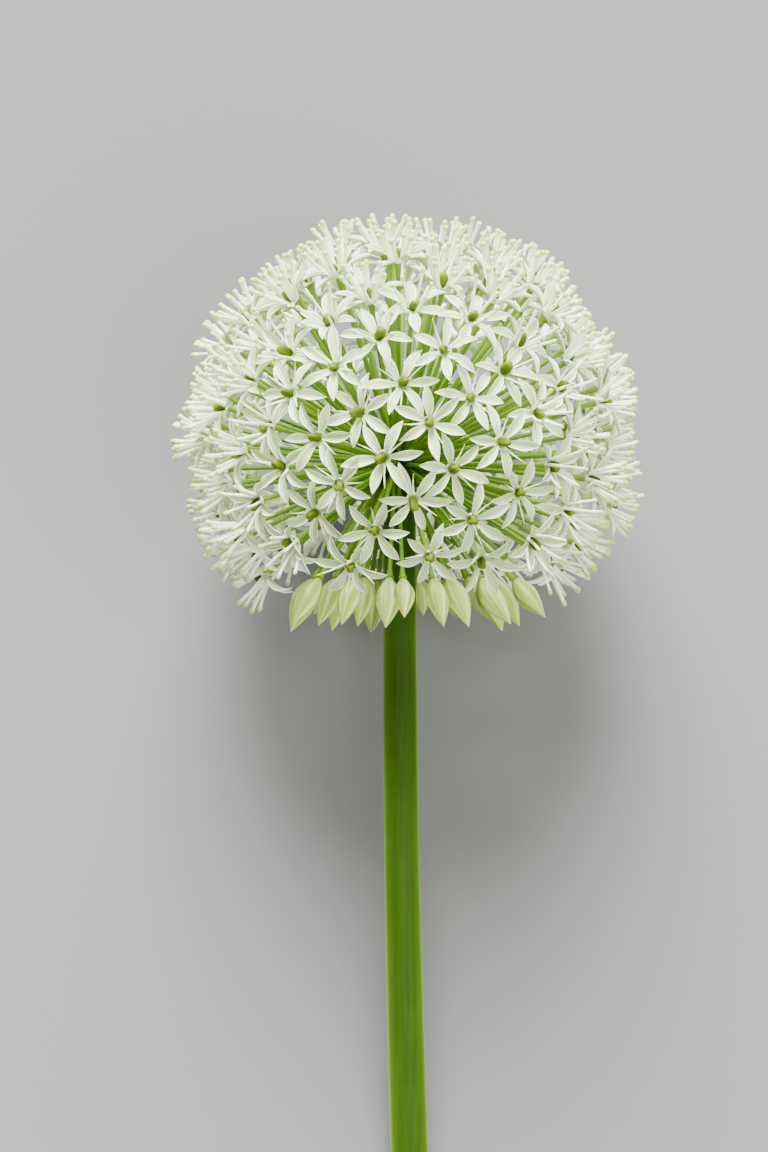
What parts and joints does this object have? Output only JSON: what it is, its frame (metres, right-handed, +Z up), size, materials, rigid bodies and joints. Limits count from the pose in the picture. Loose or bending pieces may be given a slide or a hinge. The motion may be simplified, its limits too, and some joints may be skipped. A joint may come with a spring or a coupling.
{
  "type": "allium flower head",
  "caption": "Round white allium flower head of star-shaped florets on thin stalks from one point, with hanging buds below and a cut leafless stem, lying on its side.",
  "frame": {"origin": "on the surface that the flower lies on, under the middle of its bounding box", "axes": "+Y from the cut end of the stem towards the ball of florets, +Z up, +X to the right of someone who looks along +Y"},
  "size_m": [0.1304, 0.2725, 0.1263],
  "materials": {
    "stem": "satin",
    "floret": "matte",
    "bud": "matte"
  },
  "bodies": {
    "root": {"buds_1": "bud", "buds_2": "bud", "buds_3": "bud", "buds_4": "bud", "buds_5": "bud", "buds_6": "bud", "buds_7": "bud", "buds_8": "bud", "florets_01": "floret", "florets_02": "floret", "florets_03": "floret", "florets_04": "floret", "florets_05": "floret", "florets_06": "floret", "florets_07": "floret", "florets_08": "floret", "florets_09": "floret", "florets_10": "floret", "florets_11": "floret", "florets_12": "floret", "florets_13": "floret", "florets_14": "floret", "florets_15": "floret", "florets_16": "floret", "florets_17": "floret", "florets_18": "floret", "florets_19": "floret", "florets_20": "floret", "florets_21": "floret", "florets_22": "floret", "florets_23": "floret", "florets_24": "floret", "florets_25": "floret", "florets_26": "floret", "florets_27": "floret", "florets_28": "floret", "florets_29": "floret", "florets_30": "floret", "florets_31": "floret", "florets_32": "floret", "florets_33": "floret", "florets_34": "floret", "florets_35": "floret", "florets_36": "floret", "florets_37": "floret", "florets_38": "floret", "florets_39": "floret", "florets_40": "floret", "scape": "stem"}
  },
  "joints": []
}
